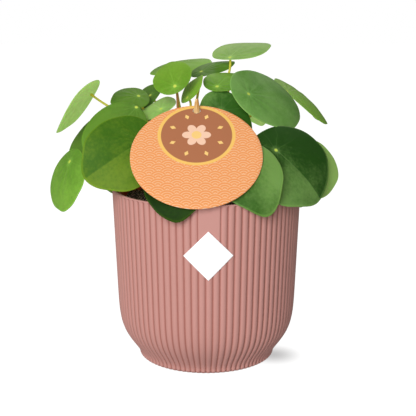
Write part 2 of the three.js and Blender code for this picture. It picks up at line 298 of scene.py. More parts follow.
# %% Helpers for the pieces
def piece(name, points, faces, finishes, replaces=(), flat=None, indexes=None, shade=None):
    mesh = bpy.data.meshes.new(name)
    mesh.from_pydata(np.asarray(points, float) * MM, [], faces)
    for material in finishes:
        mesh.materials.append(material)
    if indexes is not None:
        mesh.polygons.foreach_set("material_index", indexes)
    corner_points = np.zeros(len(mesh.loops), int)
    mesh.loops.foreach_get("vertex_index", corner_points)
    for layer_name, pairs in (("flat", flat), ("shade", shade)):
        if pairs is not None:
            layer = mesh.uv_layers.new(name=layer_name)
            layer.data.foreach_set("uv", np.asarray(pairs, float)[corner_points].ravel())
    shell = bmesh.new()
    shell.from_mesh(mesh)
    bmesh.ops.recalc_face_normals(shell, faces=shell.faces)
    shell.to_mesh(mesh)
    shell.free()
    mesh.polygons.foreach_set("use_smooth", [True] * len(mesh.polygons))
    made = bpy.data.objects.new(name, mesh)
    scene.collection.objects.link(made)
    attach(made, "root")
    if replaces:
        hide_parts(*replaces)
    return made


def skin(rings, start=None, end=None):
    """Points and faces over rings of equal counts. Without end points the last ring meets the first."""
    count = len(rings[0])
    points = [point for ring in rings for point in ring]
    faces = []
    bands = len(rings) - 1 if start is not None else len(rings)
    for level in range(bands):
        low = level * count
        high = ((level + 1) % len(rings)) * count
        for i in range(count):
            j = (i + 1) % count
            faces.append((low + i, low + j, high + j, high + i))
    if start is not None:
        points += [start, end]
        last = (len(rings) - 1) * count
        for i in range(count):
            j = (i + 1) % count
            faces.append((len(points) - 2, j, i))
            faces.append((len(points) - 1, last + i, last + j))
    return points, faces


def around(sides):
    """The angles of evenly spread points round a full turn."""
    return np.arange(sides) * 2 * math.pi / sides


def level_ring(radius, height, angles, middle=(0, 0)):
    """Points at one height. The radius is one number, or one for every angle."""
    x = middle[0] + radius * np.cos(angles)
    y = middle[1] + radius * np.sin(angles)
    return np.stack([x, y, np.full(len(angles), height)], axis=1)


# %% [markdown]
# The cover pot is moulded in one piece. Its wall rises straight from a round shoulder over a small
# foot, and 84 convex ribs with narrow grooves between them run from the foot to a thin plain lip.
# One formula gives the whole outline: the foot's radius turns into the wall's along an exponential
# curve. A rib is a power curve across its pitch, round on top and steep beside the groove. At the
# front three ribs give way to a flat panel, which ends behind the label. The flat coordinates say
# how near a point is to a groove, for the finish, and how high it lies.

# %% Cover pot outline
POT_HEIGHT = 130.0
POT_TURN = 1.7
RIBS = 84
RIB_DEPTH = 1.2
RIB_POWER = 2.4
RIB_POINTS = 10
RIM_LIP = 1.2
POT_WALL = 2.4
POT_FLOOR = 3.5
PANEL_RIBS = 3
PANEL_BOTTOM = 93.0
FOOT_RADIUS = 51.8
FOOT_HEIGHT = 3.0
FOOT_CURL = 2.5
FOOT_POWER = 2.4
WALL_RADIUS = 65.75
WALL_SLOPE = 0.0395
SHOULDER_HEIGHT = 15.0
SHOULDER_POWER = 1.61


def crest_radius(height):
    """The radius of the wall's crests at a height above the ground."""
    wall = WALL_RADIUS + WALL_SLOPE * height
    above = max(0.0, height - FOOT_HEIGHT) / SHOULDER_HEIGHT
    under = max(0.0, 1 - height / FOOT_HEIGHT)
    reached = 1 - math.exp(-(above**SHOULDER_POWER))
    return FOOT_RADIUS + (wall - FOOT_RADIUS) * reached - FOOT_CURL * under**FOOT_POWER


def fluted_ring(height, inward, depth, panel):
    """One level of the wall, inward from the crest line, with ribs of a depth and a panel share."""
    crest = crest_radius(height) - inward
    pitch = 2 * math.pi / RIBS
    count = RIBS * RIB_POINTS
    rib = np.arange(count) / RIB_POINTS
    groove = np.abs(2 * (rib % 1) - 1)
    drop = depth * groove**RIB_POWER
    from_front = (rib - PANEL_RIBS / 2) * pitch
    chord = crest * math.cos(PANEL_RIBS / 2 * pitch) / np.cos(np.where(rib < PANEL_RIBS, from_front, 0))
    on_panel = (rib < PANEL_RIBS) & (rib > 0)
    radius = np.where(on_panel, panel * chord + (1 - panel) * (crest - drop), crest - drop)
    angle = from_front + math.radians(POT_TURN - 90)
    # The first flat coordinate tells the finish where to put the grooves' painted shade.
    cut = groove * (depth > 0) * np.where(on_panel, 1 - panel, 1)
    flat = np.stack([cut, np.full(count, height / POT_HEIGHT)], axis=1)
    return level_ring(radius, height, angle), flat


print("pot radius at the foot and the top", crest_radius(0), crest_radius(POT_HEIGHT))

# %% [markdown]
# The pot's plastic is a dusty pink with a satin skin. Moulded plastic is never quite even: its tone
# drifts a little over the wall, and the grain of the mould breaks up the reflections. The grooves
# are painted darker and redder: painted shade, and the red of light that has come off pink plastic
# before. Noise does the first two, and the flat coordinates tell the shader where a groove is.


# %% Cover pot plastic
def pink_plastic(tree):
    place = tree.place()
    groove, _ = tree.split(tree.coordinates("flat"))
    drift = tree.noise(place, 14.0, detail=2.0)
    grain = tree.noise(place, 2600.0, detail=2.0)
    colour = tree.mix(drift, (0.55, 0.262, 0.225), (0.59, 0.284, 0.247))
    # Painted shade and painted bounce light: the grooves are darker and redder.
    colour = tree.mix(tree.rise(groove, 0.6, 1.0) * 0.75, colour, (0.31, 0.090, 0.062))
    return {
        "Base Color": colour,
        "Roughness": 0.44 + grain * 0.12,
        "Normal": tree.bump(grain, 0.05, 0.5),
    }


# %% [markdown]
# The pot is a stack of rings from its underside up the wall, over the lip and down the inside to
# its floor. They stand closer where the outline bends. A level is its height, how far it lies
# inward, its share of the ribs' depth and its share of the panel. An array of one modelled rib
# would be shorter, but it could not flow into the foot and the panel.

# %% Cover pot
SHOULDER_TOP = 45.0
SHOULDER_RINGS = 26
SHOULDER_SPREAD = 1.3


def cover_pot():
    smooth = [(0.0, 2.5, 0.0, 0), (0.0, 0.4, 0.5, 0)]
    foot = [(height, 0.0, 1.0, 0) for height in (0.4, 0.9, 1.6, 2.3, FOOT_HEIGHT)]
    climbs = [(step / SHOULDER_RINGS) ** SHOULDER_SPREAD for step in range(1, SHOULDER_RINGS + 1)]
    shoulder = [(FOOT_HEIGHT + (SHOULDER_TOP - FOOT_HEIGHT) * climb, 0.0, 1.0, 0) for climb in climbs]
    wall = [(height, 0.0, 1.0, 0) for height in np.linspace(SHOULDER_TOP + 4, PANEL_BOTTOM - 1, 10)]
    panel = [(height, 0.0, 1.0, 1) for height in np.linspace(PANEL_BOTTOM, POT_HEIGHT - RIM_LIP - 0.5, 8)]
    rim = [
        (POT_HEIGHT - RIM_LIP, 0.0, 0.6, 0.5),
        (POT_HEIGHT - RIM_LIP + 0.3, 0.0, 0.1, 0),
        (POT_HEIGHT - 0.3, 0.0, 0.0, 0),
        (POT_HEIGHT, 0.35, 0.0, 0),
        (POT_HEIGHT, POT_WALL - 0.35, 0.0, 0),
        (POT_HEIGHT - 0.4, POT_WALL, 0.0, 0),
    ]
    inside = [(height, POT_WALL, 0.0, 0) for height in (118, 80, 45, 30, 18, 10, 6, POT_FLOOR + 0.8)]
    inside.append((POT_FLOOR, POT_WALL + 1.5, 0.0, 0))
    levels = smooth + foot + shoulder + wall + panel + rim + inside
    rings = [fluted_ring(z, inward, depth * RIB_DEPTH, share) for z, inward, depth, share in levels]
    points, faces = skin([places for places, _ in rings], (0, 0, 0), (0, 0, POT_FLOOR))
    flat = [pair for _, ring_flat in rings for pair in ring_flat] + [(0, 0), (0, 0)]
    plastic = finish("pink_plastic", pink_plastic, Specular_IOR_Level=0.28)
    return piece("pot_wall", points, faces, [plastic], ["cover_pot"], flat)


pot = cover_pot()
print("cover pot faces", len(pot.data.polygons))

# %% [markdown]
# The plant was grown in a thin nursery pot, which stands in the cover pot. Only its rolled rim
# shows beside the soil. Its plastic is a dark red with dust and a few pale scuffs, for which two
# noises are enough.

# %% Nursery pot plastic
NURSERY_BASE_RADIUS = 45.0
NURSERY_TOP_RADIUS = 63.4
NURSERY_LIP_RADIUS = 66.4
NURSERY_LIP_HEIGHT = 9.0
NURSERY_TOP = 128.0
NURSERY_WALL = 1.0
SEAT_GAP = 0.3
nursery_base = POT_FLOOR + SEAT_GAP


def red_plastic(tree):
    place = tree.place()
    dust = tree.noise(place, 160.0, detail=4.0)
    scuffs = tree.rise(tree.noise(place, 900.0, detail=2.0), 0.62, 0.75)
    colour = tree.mix(dust * 0.5 + scuffs * 0.3, (0.55, 0.030, 0.020), (0.62, 0.07, 0.045))
    return {"Base Color": colour, "Roughness": 0.35 + dust * 0.3, "Normal": tree.bump(dust, 0.1, 0.4)}


print("nursery pot stands at", nursery_base)

# %% [markdown]
# Water leaves through holes in the floor. A Boolean modifier drills them with cylinders, which is
# less work than a floor built round six holes. Its result becomes the pot's own mesh, so that the
# cylinders can be taken away again.

# %% Drain holes
DRAIN_HOLES = 6
DRAIN_RADIUS = 4.0
DRAIN_REACH = 31.5
DRILL_LENGTH = 4.0


def drill_holes(made):
    cutter_mesh = bpy.data.meshes.new("drills")
    drills = bmesh.new()
    for hole in range(DRAIN_HOLES):
        angle = 2 * math.pi * (hole + 0.5) / DRAIN_HOLES
        before = set(drills.verts)
        bmesh.ops.create_cone(
            drills, cap_ends=True, segments=32, depth=DRILL_LENGTH * MM,
            radius1=DRAIN_RADIUS * MM, radius2=DRAIN_RADIUS * MM,
        )
        spot = Vector((math.cos(angle), math.sin(angle), 0)) * DRAIN_REACH * MM
        spot.z = nursery_base * MM
        bmesh.ops.translate(drills, verts=[v for v in drills.verts if v not in before], vec=spot)
    drills.to_mesh(cutter_mesh)
    drills.free()
    cutter = bpy.data.objects.new("drills", cutter_mesh)
    scene.collection.objects.link(cutter)
    cut = made.modifiers.new("drain_holes", "BOOLEAN")
    cut.operation = "DIFFERENCE"
    cut.object = cutter
    bpy.context.view_layer.update()
    drilled = made.evaluated_get(bpy.context.evaluated_depsgraph_get())
    mesh = bpy.data.meshes.new_from_object(drilled)
    made.modifiers.clear()
    made.data = mesh
    bpy.data.objects.remove(cutter)


# %% [markdown]
# The wall itself is a profile turned round the pot's axis: up the outside, round the rolled rim and
# down the inside. Every point of the profile becomes a ring. A Screw modifier would turn it too,
# but the Boolean needs a closed mesh, which the rings are from the start.


# %% Nursery pot
def nursery_pot():
    shoulder = NURSERY_TOP - NURSERY_LIP_HEIGHT
    inner_lip = NURSERY_LIP_RADIUS - 2.0
    profile = [
        (NURSERY_BASE_RADIUS - 2, nursery_base),
        (NURSERY_BASE_RADIUS, nursery_base + 1.5),
        (NURSERY_TOP_RADIUS, shoulder),
        (NURSERY_LIP_RADIUS - 0.6, shoulder + 0.9),
        (NURSERY_LIP_RADIUS - 0.3, shoulder + 1.6),
        (NURSERY_LIP_RADIUS, NURSERY_TOP - 0.8),
        (NURSERY_LIP_RADIUS - 0.3, NURSERY_TOP - 0.2),
        (NURSERY_LIP_RADIUS - 0.8, NURSERY_TOP),
        (inner_lip + 0.4, NURSERY_TOP - 0.2),
        (inner_lip, NURSERY_TOP - 0.8),
        (inner_lip - 0.3, shoulder + 2.2),
        (NURSERY_TOP_RADIUS - NURSERY_WALL, shoulder + 0.8),
        (NURSERY_BASE_RADIUS - NURSERY_WALL, nursery_base + 2),
        (NURSERY_BASE_RADIUS - NURSERY_WALL - 1.5, nursery_base + NURSERY_WALL),
    ]
    angles = around(sides=160)
    rings = [level_ring(radius, height, angles) for radius, height in profile]
    points, faces = skin(rings, (0, 0, nursery_base), (0, 0, nursery_base + NURSERY_WALL))
    plastic = finish("red_plastic", red_plastic)
    made = piece("nursery_wall", points, faces, [plastic], ["nursery_pot"])
    drill_holes(made)
    return made


nursery = nursery_pot()
print("nursery pot faces", len(nursery.data.polygons))

# %% [markdown]
# Potting mix is nearly black, moist and crumbly, with pale specks. Three layers of noise lift the
# surface into lumps, clods and grains. A displacement modifier could do it too, but the crumbs that
# follow have to know the height of the surface under them.

# %% Soil
SOIL_TOP = 121.5
SOIL_HEAP = 0.6
SOIL_RADIUS = 61.8
SOIL_BASE_RADIUS = 43.4
SOIL_FLOOR = 5.1
SOIL_WALL_TOP = 119.5
SOIL_RINGS = 58


def soil_height(x, y):
    lumps = noise.noise(Vector((x * 0.06, y * 0.06, 3.0))) * 2.2
    clods = noise.noise(Vector((x * 0.25, y * 0.25, 7.0))) * 1.1
    grains = noise.noise(Vector((x * 0.9, y * 0.9, 1.0))) * 0.45
    return SOIL_TOP + SOIL_HEAP + lumps + clods + grains


def potting_mix(tree):
    place = tree.place()
    clods = tree.noise(place, 420.0, detail=5.0, roughness=0.65)
    fleck = tree.rise(tree.noise(place, 900.0, detail=1.0), 0.58, 0.66)
    dark = tree.mix(clods, (0.008, 0.004, 0.005), (0.050, 0.022, 0.026))
    colour = tree.mix(fleck, dark, (0.75, 0.48, 0.50))
    return {"Base Color": colour, "Roughness": 0.75 + clods * 0.25, "Normal": tree.bump(clods, 0.8)}


def soil(mix):
    angles = around(sides=180)
    rings = [level_ring(SOIL_BASE_RADIUS, SOIL_FLOOR, angles)]
    rings.append(level_ring(SOIL_RADIUS, SOIL_WALL_TOP, angles))
    for radius in np.linspace(SOIL_RADIUS, 0.8, SOIL_RINGS):
        ring = level_ring(radius, 0, angles)
        for point in ring:
            point[2] = soil_height(point[0], point[1])
        rings.append(ring)
    points, faces = skin(rings, (0, 0, SOIL_FLOOR), (0, 0, soil_height(0, 0)))
    return piece("soil_bed", points, faces, [mix], ["soil"])


moist_mix = finish("potting_mix", potting_mix)
bed = soil(moist_mix)
print("soil faces", len(bed.data.polygons))

# %% [markdown]
# Loose crumbs of peat and bark lie on the surface. Each is a small ball of twenty faces with its
# points pushed in and out, flattened, and turned its own way. The draw is seeded, so the same
# crumbs fall in the same places each time. Blender can scatter copies by itself, but here each crumb
# has its own shape, and all of them are one plain mesh.

# %% Crumbs
CRUMBS = 900


def soil_crumbs(mix):
    draw = random.Random(5)
    stone = bmesh.new()
    bmesh.ops.create_icosphere(stone, subdivisions=1, radius=1.0)
    shape = np.array([vertex.co for vertex in stone.verts])
    sides = [[vertex.index for vertex in face.verts] for face in stone.faces]
    stone.free()
    points = []
    faces = []
    for _ in range(CRUMBS):
        reach = SOIL_RADIUS * 0.98 * math.sqrt(draw.random())
        angle = draw.uniform(0, 2 * math.pi)
        x, y = reach * math.cos(angle), reach * math.sin(angle)
        size = draw.uniform(0.35, 1.3) * draw.uniform(0.6, 1.0)
        flattening = np.array([1, draw.uniform(0.5, 0.9), draw.uniform(0.35, 0.7)])
        rough = np.array([draw.uniform(0.75, 1.2) for _ in shape])[:, None]
        turn = draw.uniform(0, math.pi)
        c, s = math.cos(turn), math.sin(turn)
        crumb = shape * rough * flattening * size
        crumb = crumb @ np.array([[c, s, 0], [-s, c, 0], [0, 0, 1]])
        faces += [[index + len(points) for index in side] for side in sides]
        points += list(crumb + np.array([x, y, soil_height(x, y) + size * 0.2]))
    return piece("soil_crumbs", points, faces, [mix])


crumbs = soil_crumbs(moist_mix)
print("crumb faces", len(crumbs.data.polygons))

# %% [markdown]
# Every leaf repeats its row of the model: where the petiole meets the blade, which way the blade
# faces, its length and width, and where the petiole leaves the stem. Here a row also gets a tone,
# because old leaves are deep green, grown ones lighter, and those at the tip of the stem yellowish.
# Four more values shade it. Level is how far the blade lies towards the lighter green of its tone,
# contrast is how much that changes across it, and lit is the side painted lighter, in degrees from
# the tip; these three are partly the leaf's own uneven green and partly painted light and shade.
# Brown is how far up the petiole its brown foot reaches. What a row leaves out is usual.

# %% Leaf rows
STEM_PLACE = (-6.0, 8.0)
STEM_RADIUS = 5.5
STEM_TOP = 170.0
PETIOLE_BASE_RADIUS = 1.5
USUAL = {
    "inset": 0.22, "dome": 0.1, "droop": 0.04, "fold": 0, "point": 0.035,
    "climb": 50, "push": 0.45, "pull": 0.3,
    "level": 0.5, "contrast": 0.4, "lit": 0, "brown": 0.3,
}

# Tone, dot, (facing, lift, turn), (length, width), start on the stem, and what isn't usual
LEAVES = [
    # The top of the crown
    ("pale", (18, 29, 225), (-122, 73, 183), (46, 46), 163,
     {"inset": 0.42, "point": 0.01, "heading": 62, "climb": 72, "lit": 90, "brown": 0}),
    ("fresh", (-28, 71, 217), (-148, 74, 112), (54, 44), 159,
     {"inset": 0.15, "heading": 135, "climb": 60, "level": 0.75}),
    ("young", (-23, -6, 206), (-113, 41, -149), (31, 30), 161,
     {"inset": 0.32, "heading": 195, "climb": 50, "brown": 1.2}),
    ("grown", (-4, 33, 214), (-126, 71, 160), (38, 27), 163,
     {"inset": 0.28, "heading": 105, "climb": 75, "push": 0.7, "pull": 0.15}),
    ("young", (-14, 2, 197), (-156, 37, -153), (26, 24), 164,
     {"inset": 0.34, "heading": 165, "climb": 60, "level": 1.1}),
    ("fresh", (8, 3, 205), (-97, 66, 158), (32, 31), 164, {"inset": 0.34, "heading": 20, "climb": 70}),
    ("deep", (19, 54, 208), (-95, 78, 90), (34, 32), 157, {"heading": 68, "climb": 55}),
    # The right side
    # Painted sheen and painted light: this leaf's tone holds a reflection, and its lit side is lighter.
    ("green_and_sheen", (31, -3, 200), (-42, 44, 76), (67, 57), 156,
     {"inset": 0.29, "heading": -4, "pull": 0.25, "lit": 200, "level": 0.62}),
    ("shaded", (11, -7, 188), (-86, 27, 20), (52, 37), 155,
     {"inset": 0.16, "heading": -25, "climb": 60, "lit": 225, "contrast": 0.8, "level": 0.3}),
    ("fresh", (63, 43, 198), (-9, 51, 56), (54, 57), 160,
     {"inset": 0.46, "dome": 0.16, "droop": 0.08, "heading": 16, "climb": 35, "pull": 0.12, "level": 1.1}),
    ("pale", (30, 41, 184), (50, 62, 0), (32, 30), 152, {"heading": 42}),
    ("two_tone", (50, -29, 162), (-62, 38, 34), (63, 73), 142,
     {"climb": 35, "lit": -60, "contrast": 0.7, "level": 0.3}),
    ("pale", (79, -6, 156), (-56, 28, -1), (44, 42), 139, {"climb": 30, "level": 1.3}),
    ("shaded", (24, -45, 156), (-91, 49, 27), (65, 49), 136,
     {"inset": 0.12, "dome": 0.05, "droop": 0.14, "lit": 110, "contrast": 1.1, "level": 0.6}),
    # The left side
    ("pale", (-87, 10, 199), (166, 37, 61), (50, 49), 151,
     {"inset": 0.36, "point": 0, "heading": 160, "climb": 38, "brown": -0.3}),
    ("grown", (-52, 25, 196), (-79, 57, -76), (29, 27), 156,
     {"heading": 166, "lit": 135, "contrast": 0.5, "level": 0.8}),
    ("grown", (-44, 41, 195), (-145, 47, -63), (32, 32), 153, {"heading": 142}),
    ("grown", (-52, 1, 190), (-96, 34, -33), (55, 45), 148,
     {"inset": 0.48, "heading": 203, "climb": 35, "pull": 0.12, "contrast": 0, "level": 0.85}),
    ("grown", (-75, 7, 172), (-122, 30, -33), (57, 44), 145, {"inset": 0.23, "heading": 180, "climb": 25}),
    ("pale", (-34, 7, 188), (-140, 60, -106), (32, 29), 154,
     {"inset": 0.24, "heading": 185, "level": 0.9}),
    ("mottled", (-47, -26, 168), (-78, 23, -59), (61, 54), 144,
     {"inset": 0.26, "fold": 0.06, "heading": 215, "contrast": 0.3, "level": 0.4}),
    ("fresh", (-100, -18, 152), (-144, 21, 6), (47, 45), 139,
     {"inset": 0.28, "point": 0, "heading": 204, "climb": 14}),
    # Painted shade: this leaf lies in the card's shadow, so its tone is the darkest.
    ("dark", (-20, -52, 147), (-90, 56, -3), (47, 46), 133,
     {"inset": 0.2, "dome": 0.05, "droop": 0.16, "heading": 246, "lit": 90, "contrast": 0.8}),
    # The back
    ("grown", (66, 45, 161), (42, 48, 0), (56, 52), 146, {"heading": 46, "climb": 50}),
    ("grown", (4, 60, 177), (88, 46, 10), (52, 48), 151, {"climb": 40}),
    ("grown", (-42, 50, 172), (130, 50, -10), (54, 50), 148, {}),
    ("deep", (61, 28, 144), (22, 30, 10), (54, 46), 137, {"climb": 30}),
    ("grown", (31, 65, 142), (60, 28, 0), (52, 48), 135, {"climb": 30}),
    ("deep", (-17, 70, 146), (98, 32, -8), (54, 50), 134, {"climb": 30}),
    ("grown", (-61, 44, 152), (145, 32, 0), (54, 50), 138, {"climb": 30}),
]
print("rows", len(LEAVES))

# %% [markdown]
# A row gives angles, and the formulas need directions. Facing and lift are the azimuth and the
# elevation of the upper side's normal. The tip starts out downhill and swings round that normal by
# turn, and the way across the blade stands on both.


# %% Leaf directions
def read_leaf(row):
    tone, dot, (facing, lift, turn), (length, width), node, own = row
    given = {"tone": tone, "dot": np.array(dot, float), "length": length, "width": width, "node": node}
    leaf = {**USUAL, **given, **own}
    azimuth, rise, swing = math.radians(facing), math.radians(lift), math.radians(turn)
    round_x, round_y = math.cos(azimuth), math.sin(azimuth)
    normal = np.array([round_x * math.cos(rise), round_y * math.cos(rise), math.sin(rise)])
    downhill = np.array([round_x * math.sin(rise), round_y * math.sin(rise), -math.cos(rise)])
    sideways = np.cross(normal, downhill)
    tip = downhill * math.cos(swing) + sideways * math.sin(swing)
    heading = math.atan2(dot[1] - STEM_PLACE[1], dot[0] - STEM_PLACE[0])
    leaf["heading"] = math.radians(own["heading"]) if "heading" in own else heading
    return {**leaf, "normal": normal, "tip": tip, "across": np.cross(normal, tip)}


leaves = [read_leaf(row) for row in LEAVES]
print("leaves", len(leaves))

# %% [markdown]
# The stem is short and thick, green-brown, and knobbly where leaves sit on it. The same rows say
# where: each petiole lifts a small swelling out of the round stem, so that none has to be modelled
# by hand and each lies under its own leaf.

# %% Stem
STEM_ROOT = 112.0
STEM_RINGS = 90
SWELLING = 0.9
SWELLING_SPREAD = 0.4
SWELLING_HEIGHT = 2.2


def bark(tree):
    place = tree.place()
    streaks = tree.noise(tree.stretched(place, (1, 1, 0.3)), 700.0, detail=4.0)
    patches = tree.noise(place, 180.0)
    colour = tree.mix(tree.rise(patches, 0.35, 0.65), (0.085, 0.060, 0.022), (0.16, 0.17, 0.05))
    return {"Base Color": colour, "Roughness": 0.65 + streaks * 0.2, "Normal": tree.bump(streaks, 0.4)}


def stem():
    angles = around(sides=48)
    rings = []
    for height in np.linspace(STEM_ROOT, STEM_TOP - 0.2, STEM_RINGS):
        tip = max(0.0, (height - (STEM_TOP - STEM_RADIUS)) / STEM_RADIUS)
        radius = np.full(len(angles), STEM_RADIUS * math.sqrt(max(0.02, 1 - tip**2)))
        radius += 0.25 * np.sin(height * 1.1) * (tip == 0)
        for leaf in leaves:
            apart = (angles - leaf["heading"] + math.pi) % (2 * math.pi) - math.pi
            above = height - leaf["node"] + 1
            near = np.exp(-((apart / SWELLING_SPREAD) ** 2) - (above / SWELLING_HEIGHT) ** 2)
            radius += SWELLING * near
        rings.append(level_ring(radius, height, angles, STEM_PLACE))
    points, faces = skin(rings, (*STEM_PLACE, STEM_ROOT), (*STEM_PLACE, STEM_TOP))
    return piece("stem_bark", points, faces, [finish("bark", bark)], ["stem"])


short_stem = stem()
print("stem faces", len(short_stem.data.polygons))

# %% [markdown]
# A leaf of this plant is a nearly round, slightly succulent shield, held by its petiole near the
# middle, where a pale dot shows. No leaf is one even green, so each tone is a darker and a lighter
# green, and the shader moves between them over the blade. Two tones, two_tone and mottled, have a
# lighter half on one side of the midrib. The darkest tone is painted shade, for the leaf that lies
# in the card's shadow, and the bluish tone of the first leaf on the right holds painted sheen. The
# two halved tones, the old deep tone and the darkest one shine less.

# %% Leaf tones
TONES = {
    # Painted shade: the darkest tone stands for the card's shadow on the leaf under it.
    "dark": ((0.008, 0.026, 0.003), (0.022, 0.056, 0.006)),
    "deep": ((0.028, 0.092, 0.008), (0.060, 0.155, 0.016)),
    "two_tone": ((0.018, 0.068, 0.007), (0.155, 0.290, 0.070)),
    "mottled": ((0.045, 0.130, 0.007), (0.155, 0.250, 0.018)),
    "shaded": ((0.030, 0.105, 0.008), (0.160, 0.300, 0.065)),
    "grown": ((0.060, 0.155, 0.013), (0.125, 0.250, 0.028)),
    # Painted sheen: besides the leaf's own green, these bluish greens stand for reflected light.
    "green_and_sheen": ((0.085, 0.240, 0.030), (0.195, 0.385, 0.090)),
    "fresh": ((0.100, 0.240, 0.018), (0.215, 0.430, 0.045)),
    "pale": ((0.180, 0.350, 0.060), (0.330, 0.540, 0.130)),
    "young": ((0.125, 0.275, 0.016), (0.205, 0.385, 0.034)),
}
LIGHTER_HALF = {"two_tone": -1, "mottled": 1}
USUAL_SHEEN = 0.18
SHEEN = {"dark": 0.04, "deep": 0.12, "two_tone": 0.1, "mottled": 0.08}
DOT_COLOUR = (0.55, 0.68, 0.09)
UNDER_VEIN_COLOUR = (0.46, 0.60, 0.16)
print("tones", list(TONES))

# %% [markdown]
# Faint veins fan out from the dot, with a stronger midrib towards the tip. Flat coordinates on the
# blade count from the dot, in tens of millimetres, so the shader can find them by sums: the full
# turn is cut into equal parts with a vein between each two, and a noise bends them a little. A
# second noise, drawn out away from the dot, gives the pale streaks of the skin. Veins modelled as
# geometry would need many times the faces, for relief that is hardly felt.

# %% Veins
VEINS = 9


def vein_mask(tree, flat):
    """How much veins and midrib show, how far a point lies from the dot and aside, and streaks."""
    along, aside = tree.split(flat)
    reach = (along * along + aside * aside) ** 0.5
    angle = aside.maths("ARCTAN2", along)
    waver = tree.noise(flat, 0.9, detail=1.0) - 0.5
    fan = (angle / (2 * math.pi) + waver * 0.06) * VEINS
    from_vein = abs((fan + 0.5) % 1 - 0.5) / VEINS * (2 * math.pi) * reach
    ray = tree.node("ShaderNodeCombineXYZ", {}, {0: along / reach, 1: aside / reach, 2: reach * 0.3})
    streaks = tree.noise(ray, 7.0, detail=3.0, roughness=0.6)
    lines = tree.rise(from_vein, 0.055, 0.012) * tree.rise(reach, 3.0, 0.4)
    midrib = tree.rise(abs(aside + waver * 0.1), 0.07, 0.015) * (along > 0) * tree.rise(reach, 4.2, 0.6)
    return lines, midrib, reach, aside, streaks


# %% [markdown]
# The upper side is satin. Its shade adds up wide patches, fine mottling, streaks, the lighter half,
# and what the blade carries as its shade coordinates: the level there, which holds the painted light
# and shade towards the lit side, and how far out the point lies. Over the two greens come the veins,
# a pale line along the rim and the dot.


# %% Upper side
def upper_side(tone):
    dark, light = TONES[tone]
    lighter_half = LIGHTER_HALF.get(tone, 0)
    speckle = 0.4 if tone == "mottled" else 0.25
    rib_colour = tuple(min(1.0, value * 1.7 + 0.04) for value in light)
    rim_colour = tuple(min(1.0, value * 1.5 + extra) for value, extra in zip(light, (0.03, 0.04, 0.0)))

    def build(tree):
        place = tree.place()
        level, outward = tree.split(tree.coordinates("shade"))
        lines, midrib, reach, aside, streaks = vein_mask(tree, tree.coordinates("flat"))
        patches = tree.noise(place, 60.0, detail=3.0)
        mottle = tree.noise(place, 480.0, detail=3.0, roughness=0.65)
        half = tree.rise(aside * lighter_half, -0.06, 0.06) * tree.rise(reach, 0.3, 3.0)
        drift = patches * 0.4 + (mottle - 0.5) * speckle + streaks * 0.2 + half * 0.22
        # The level holds painted light and shade towards the blade's lit side.
        shade = tree.rise(drift + level * 0.5, 0.38, 0.90)
        colour = tree.mix(shade, dark, light)
        colour = tree.mix(lines * 0.05 + midrib * 0.10, colour, rib_colour)
        colour = tree.mix(tree.rise(outward, 0.965, 0.99) * 0.3, colour, rim_colour)
        colour = tree.mix(tree.rise(reach, 0.5, 0.1) * 0.2, colour, rib_colour)
        colour = tree.mix(tree.rise(reach, 0.17, 0.08), colour, DOT_COLOUR)
        height = mottle * 0.3 + streaks * 0.5 - lines * 0.15 - midrib * 0.4
        return {
            "Base Color": colour,
            "Roughness": 0.46 + mottle * 0.12,
            "Normal": tree.bump(height, 0.12, 0.7),
        }

    return build


# %% [markdown]
# The lower side is paler and duller, as if a whitish film lay over the same greens, and its veins
# stand out a little. The palest leaves let light through from behind. Subsurface scattering alone
# gave too little of that, so those also glow faintly in their own colour.


# %% Lower side
def lower_side(tone):
    dark, light = TONES[tone]
    pale = tuple(0.8 * value + extra for value, extra in zip(light, (0.32, 0.27, 0.16)))
    dull = tuple(0.8 * value + extra for value, extra in zip(dark, (0.11, 0.15, 0.03)))

    def build(tree):
        lines, midrib, _, _, streaks = vein_mask(tree, tree.coordinates("flat"))
        mottle = tree.noise(tree.place(), 220.0, detail=3.0)
        colour = tree.mix(mottle * 0.5 + streaks * 0.5, dull, pale)
        colour = tree.mix(lines * 0.25 + midrib * 0.35, colour, UNDER_VEIN_COLOUR)
        return {
            "Base Color": colour,
            "Emission Color": colour,
            "Roughness": 0.5 + mottle * 0.15,
            "Normal": tree.bump(lines * 0.4 + midrib * 0.7, 0.15, 0.6),
        }

    return build


# %% [markdown]
# The petiole is yellow-green and turns brown towards the stem. Its flat coordinates say how far out
# a point lies on it, and its shade coordinates how far the brown reaches, since that differs from
# leaf to leaf. Streaks break up the line between the two colours. The petiole also glows faintly in
# its own colour: painted light, which lifts the shade that the blades cast on it.


# %% Petiole skin
def petiole_skin(tree):
    _, outward = tree.split(tree.coordinates("flat"))
    brown, _ = tree.split(tree.coordinates("shade"))
    streaks = tree.noise(tree.place(), 280.0, detail=2.0)
    green = tree.mix(streaks, (0.44, 0.45, 0.03), (0.58, 0.49, 0.04))
    foot = tree.rise(outward - brown + (streaks - 0.5) * 0.3, 0.15, -0.15)
    colour = tree.mix(foot * 0.9, green, (0.28, 0.10, 0.035))
    return {
        "Base Color": colour,
        # Painted light: the petiole glows in its own colour against the blades' shade.
        "Emission Color": colour,
        "Roughness": 0.42 + streaks * 0.15,
        "Normal": tree.bump(streaks, 0.03),
    }


# %% [markdown]
# Now every finish is made: an upper and a lower side for each tone, and one for all petioles. Both
# sides of a blade scatter light under the skin, the lower one more, and green light goes furthest.

# %% Leaf finishes
PALE_GLOW = 0.5
